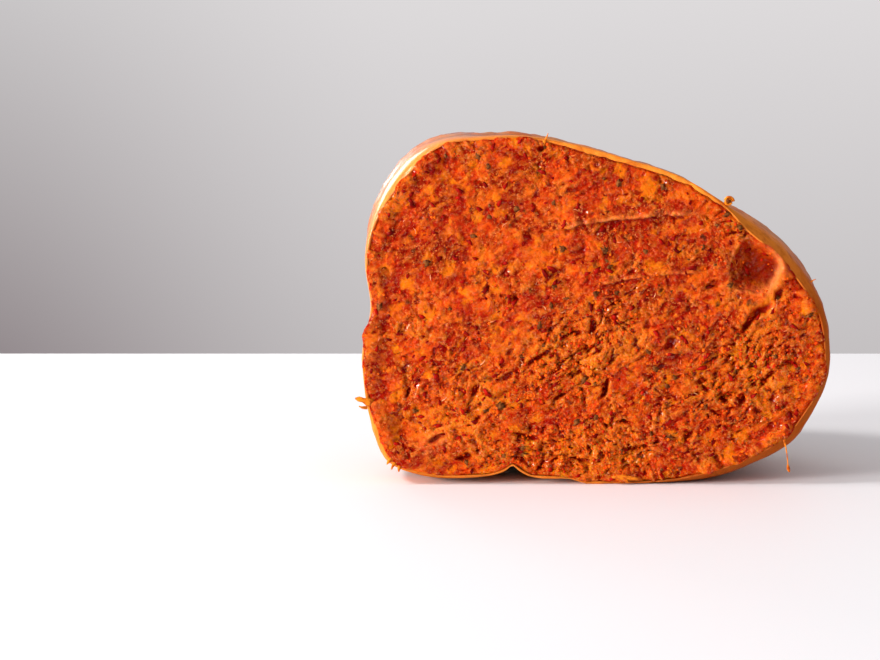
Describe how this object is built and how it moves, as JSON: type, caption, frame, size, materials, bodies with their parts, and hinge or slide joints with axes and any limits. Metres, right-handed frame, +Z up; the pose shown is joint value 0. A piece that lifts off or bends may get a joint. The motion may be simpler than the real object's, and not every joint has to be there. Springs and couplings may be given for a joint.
{
  "type": "nduja",
  "caption": "Half of a large soft spreadable pork and chilli sausage in its natural gut casing, cut across and resting on a table with the rough cut face to the front.",
  "frame": {"origin": "on the table, under the middle of the sausage's bounding box", "axes": "+Z up; the cut face looks along -Y and the closed end of the gut points along +Y; +X is to the right as the cut face is seen from the front"},
  "size_m": [0.1546, 0.1048, 0.1135],
  "materials": {
    "gut_casing": "thin natural gut stained orange by the chilli fat, glossy where it is oily and tan where it has dried",
    "nduja_paste": "moist orange-red minced paste with dark red chilli flakes, dark spice specks and bright orange fat"
  },
  "bodies": {
    "root": {"gut_casing": "gut_casing", "nduja_paste": "nduja_paste"}
  },
  "joints": []
}
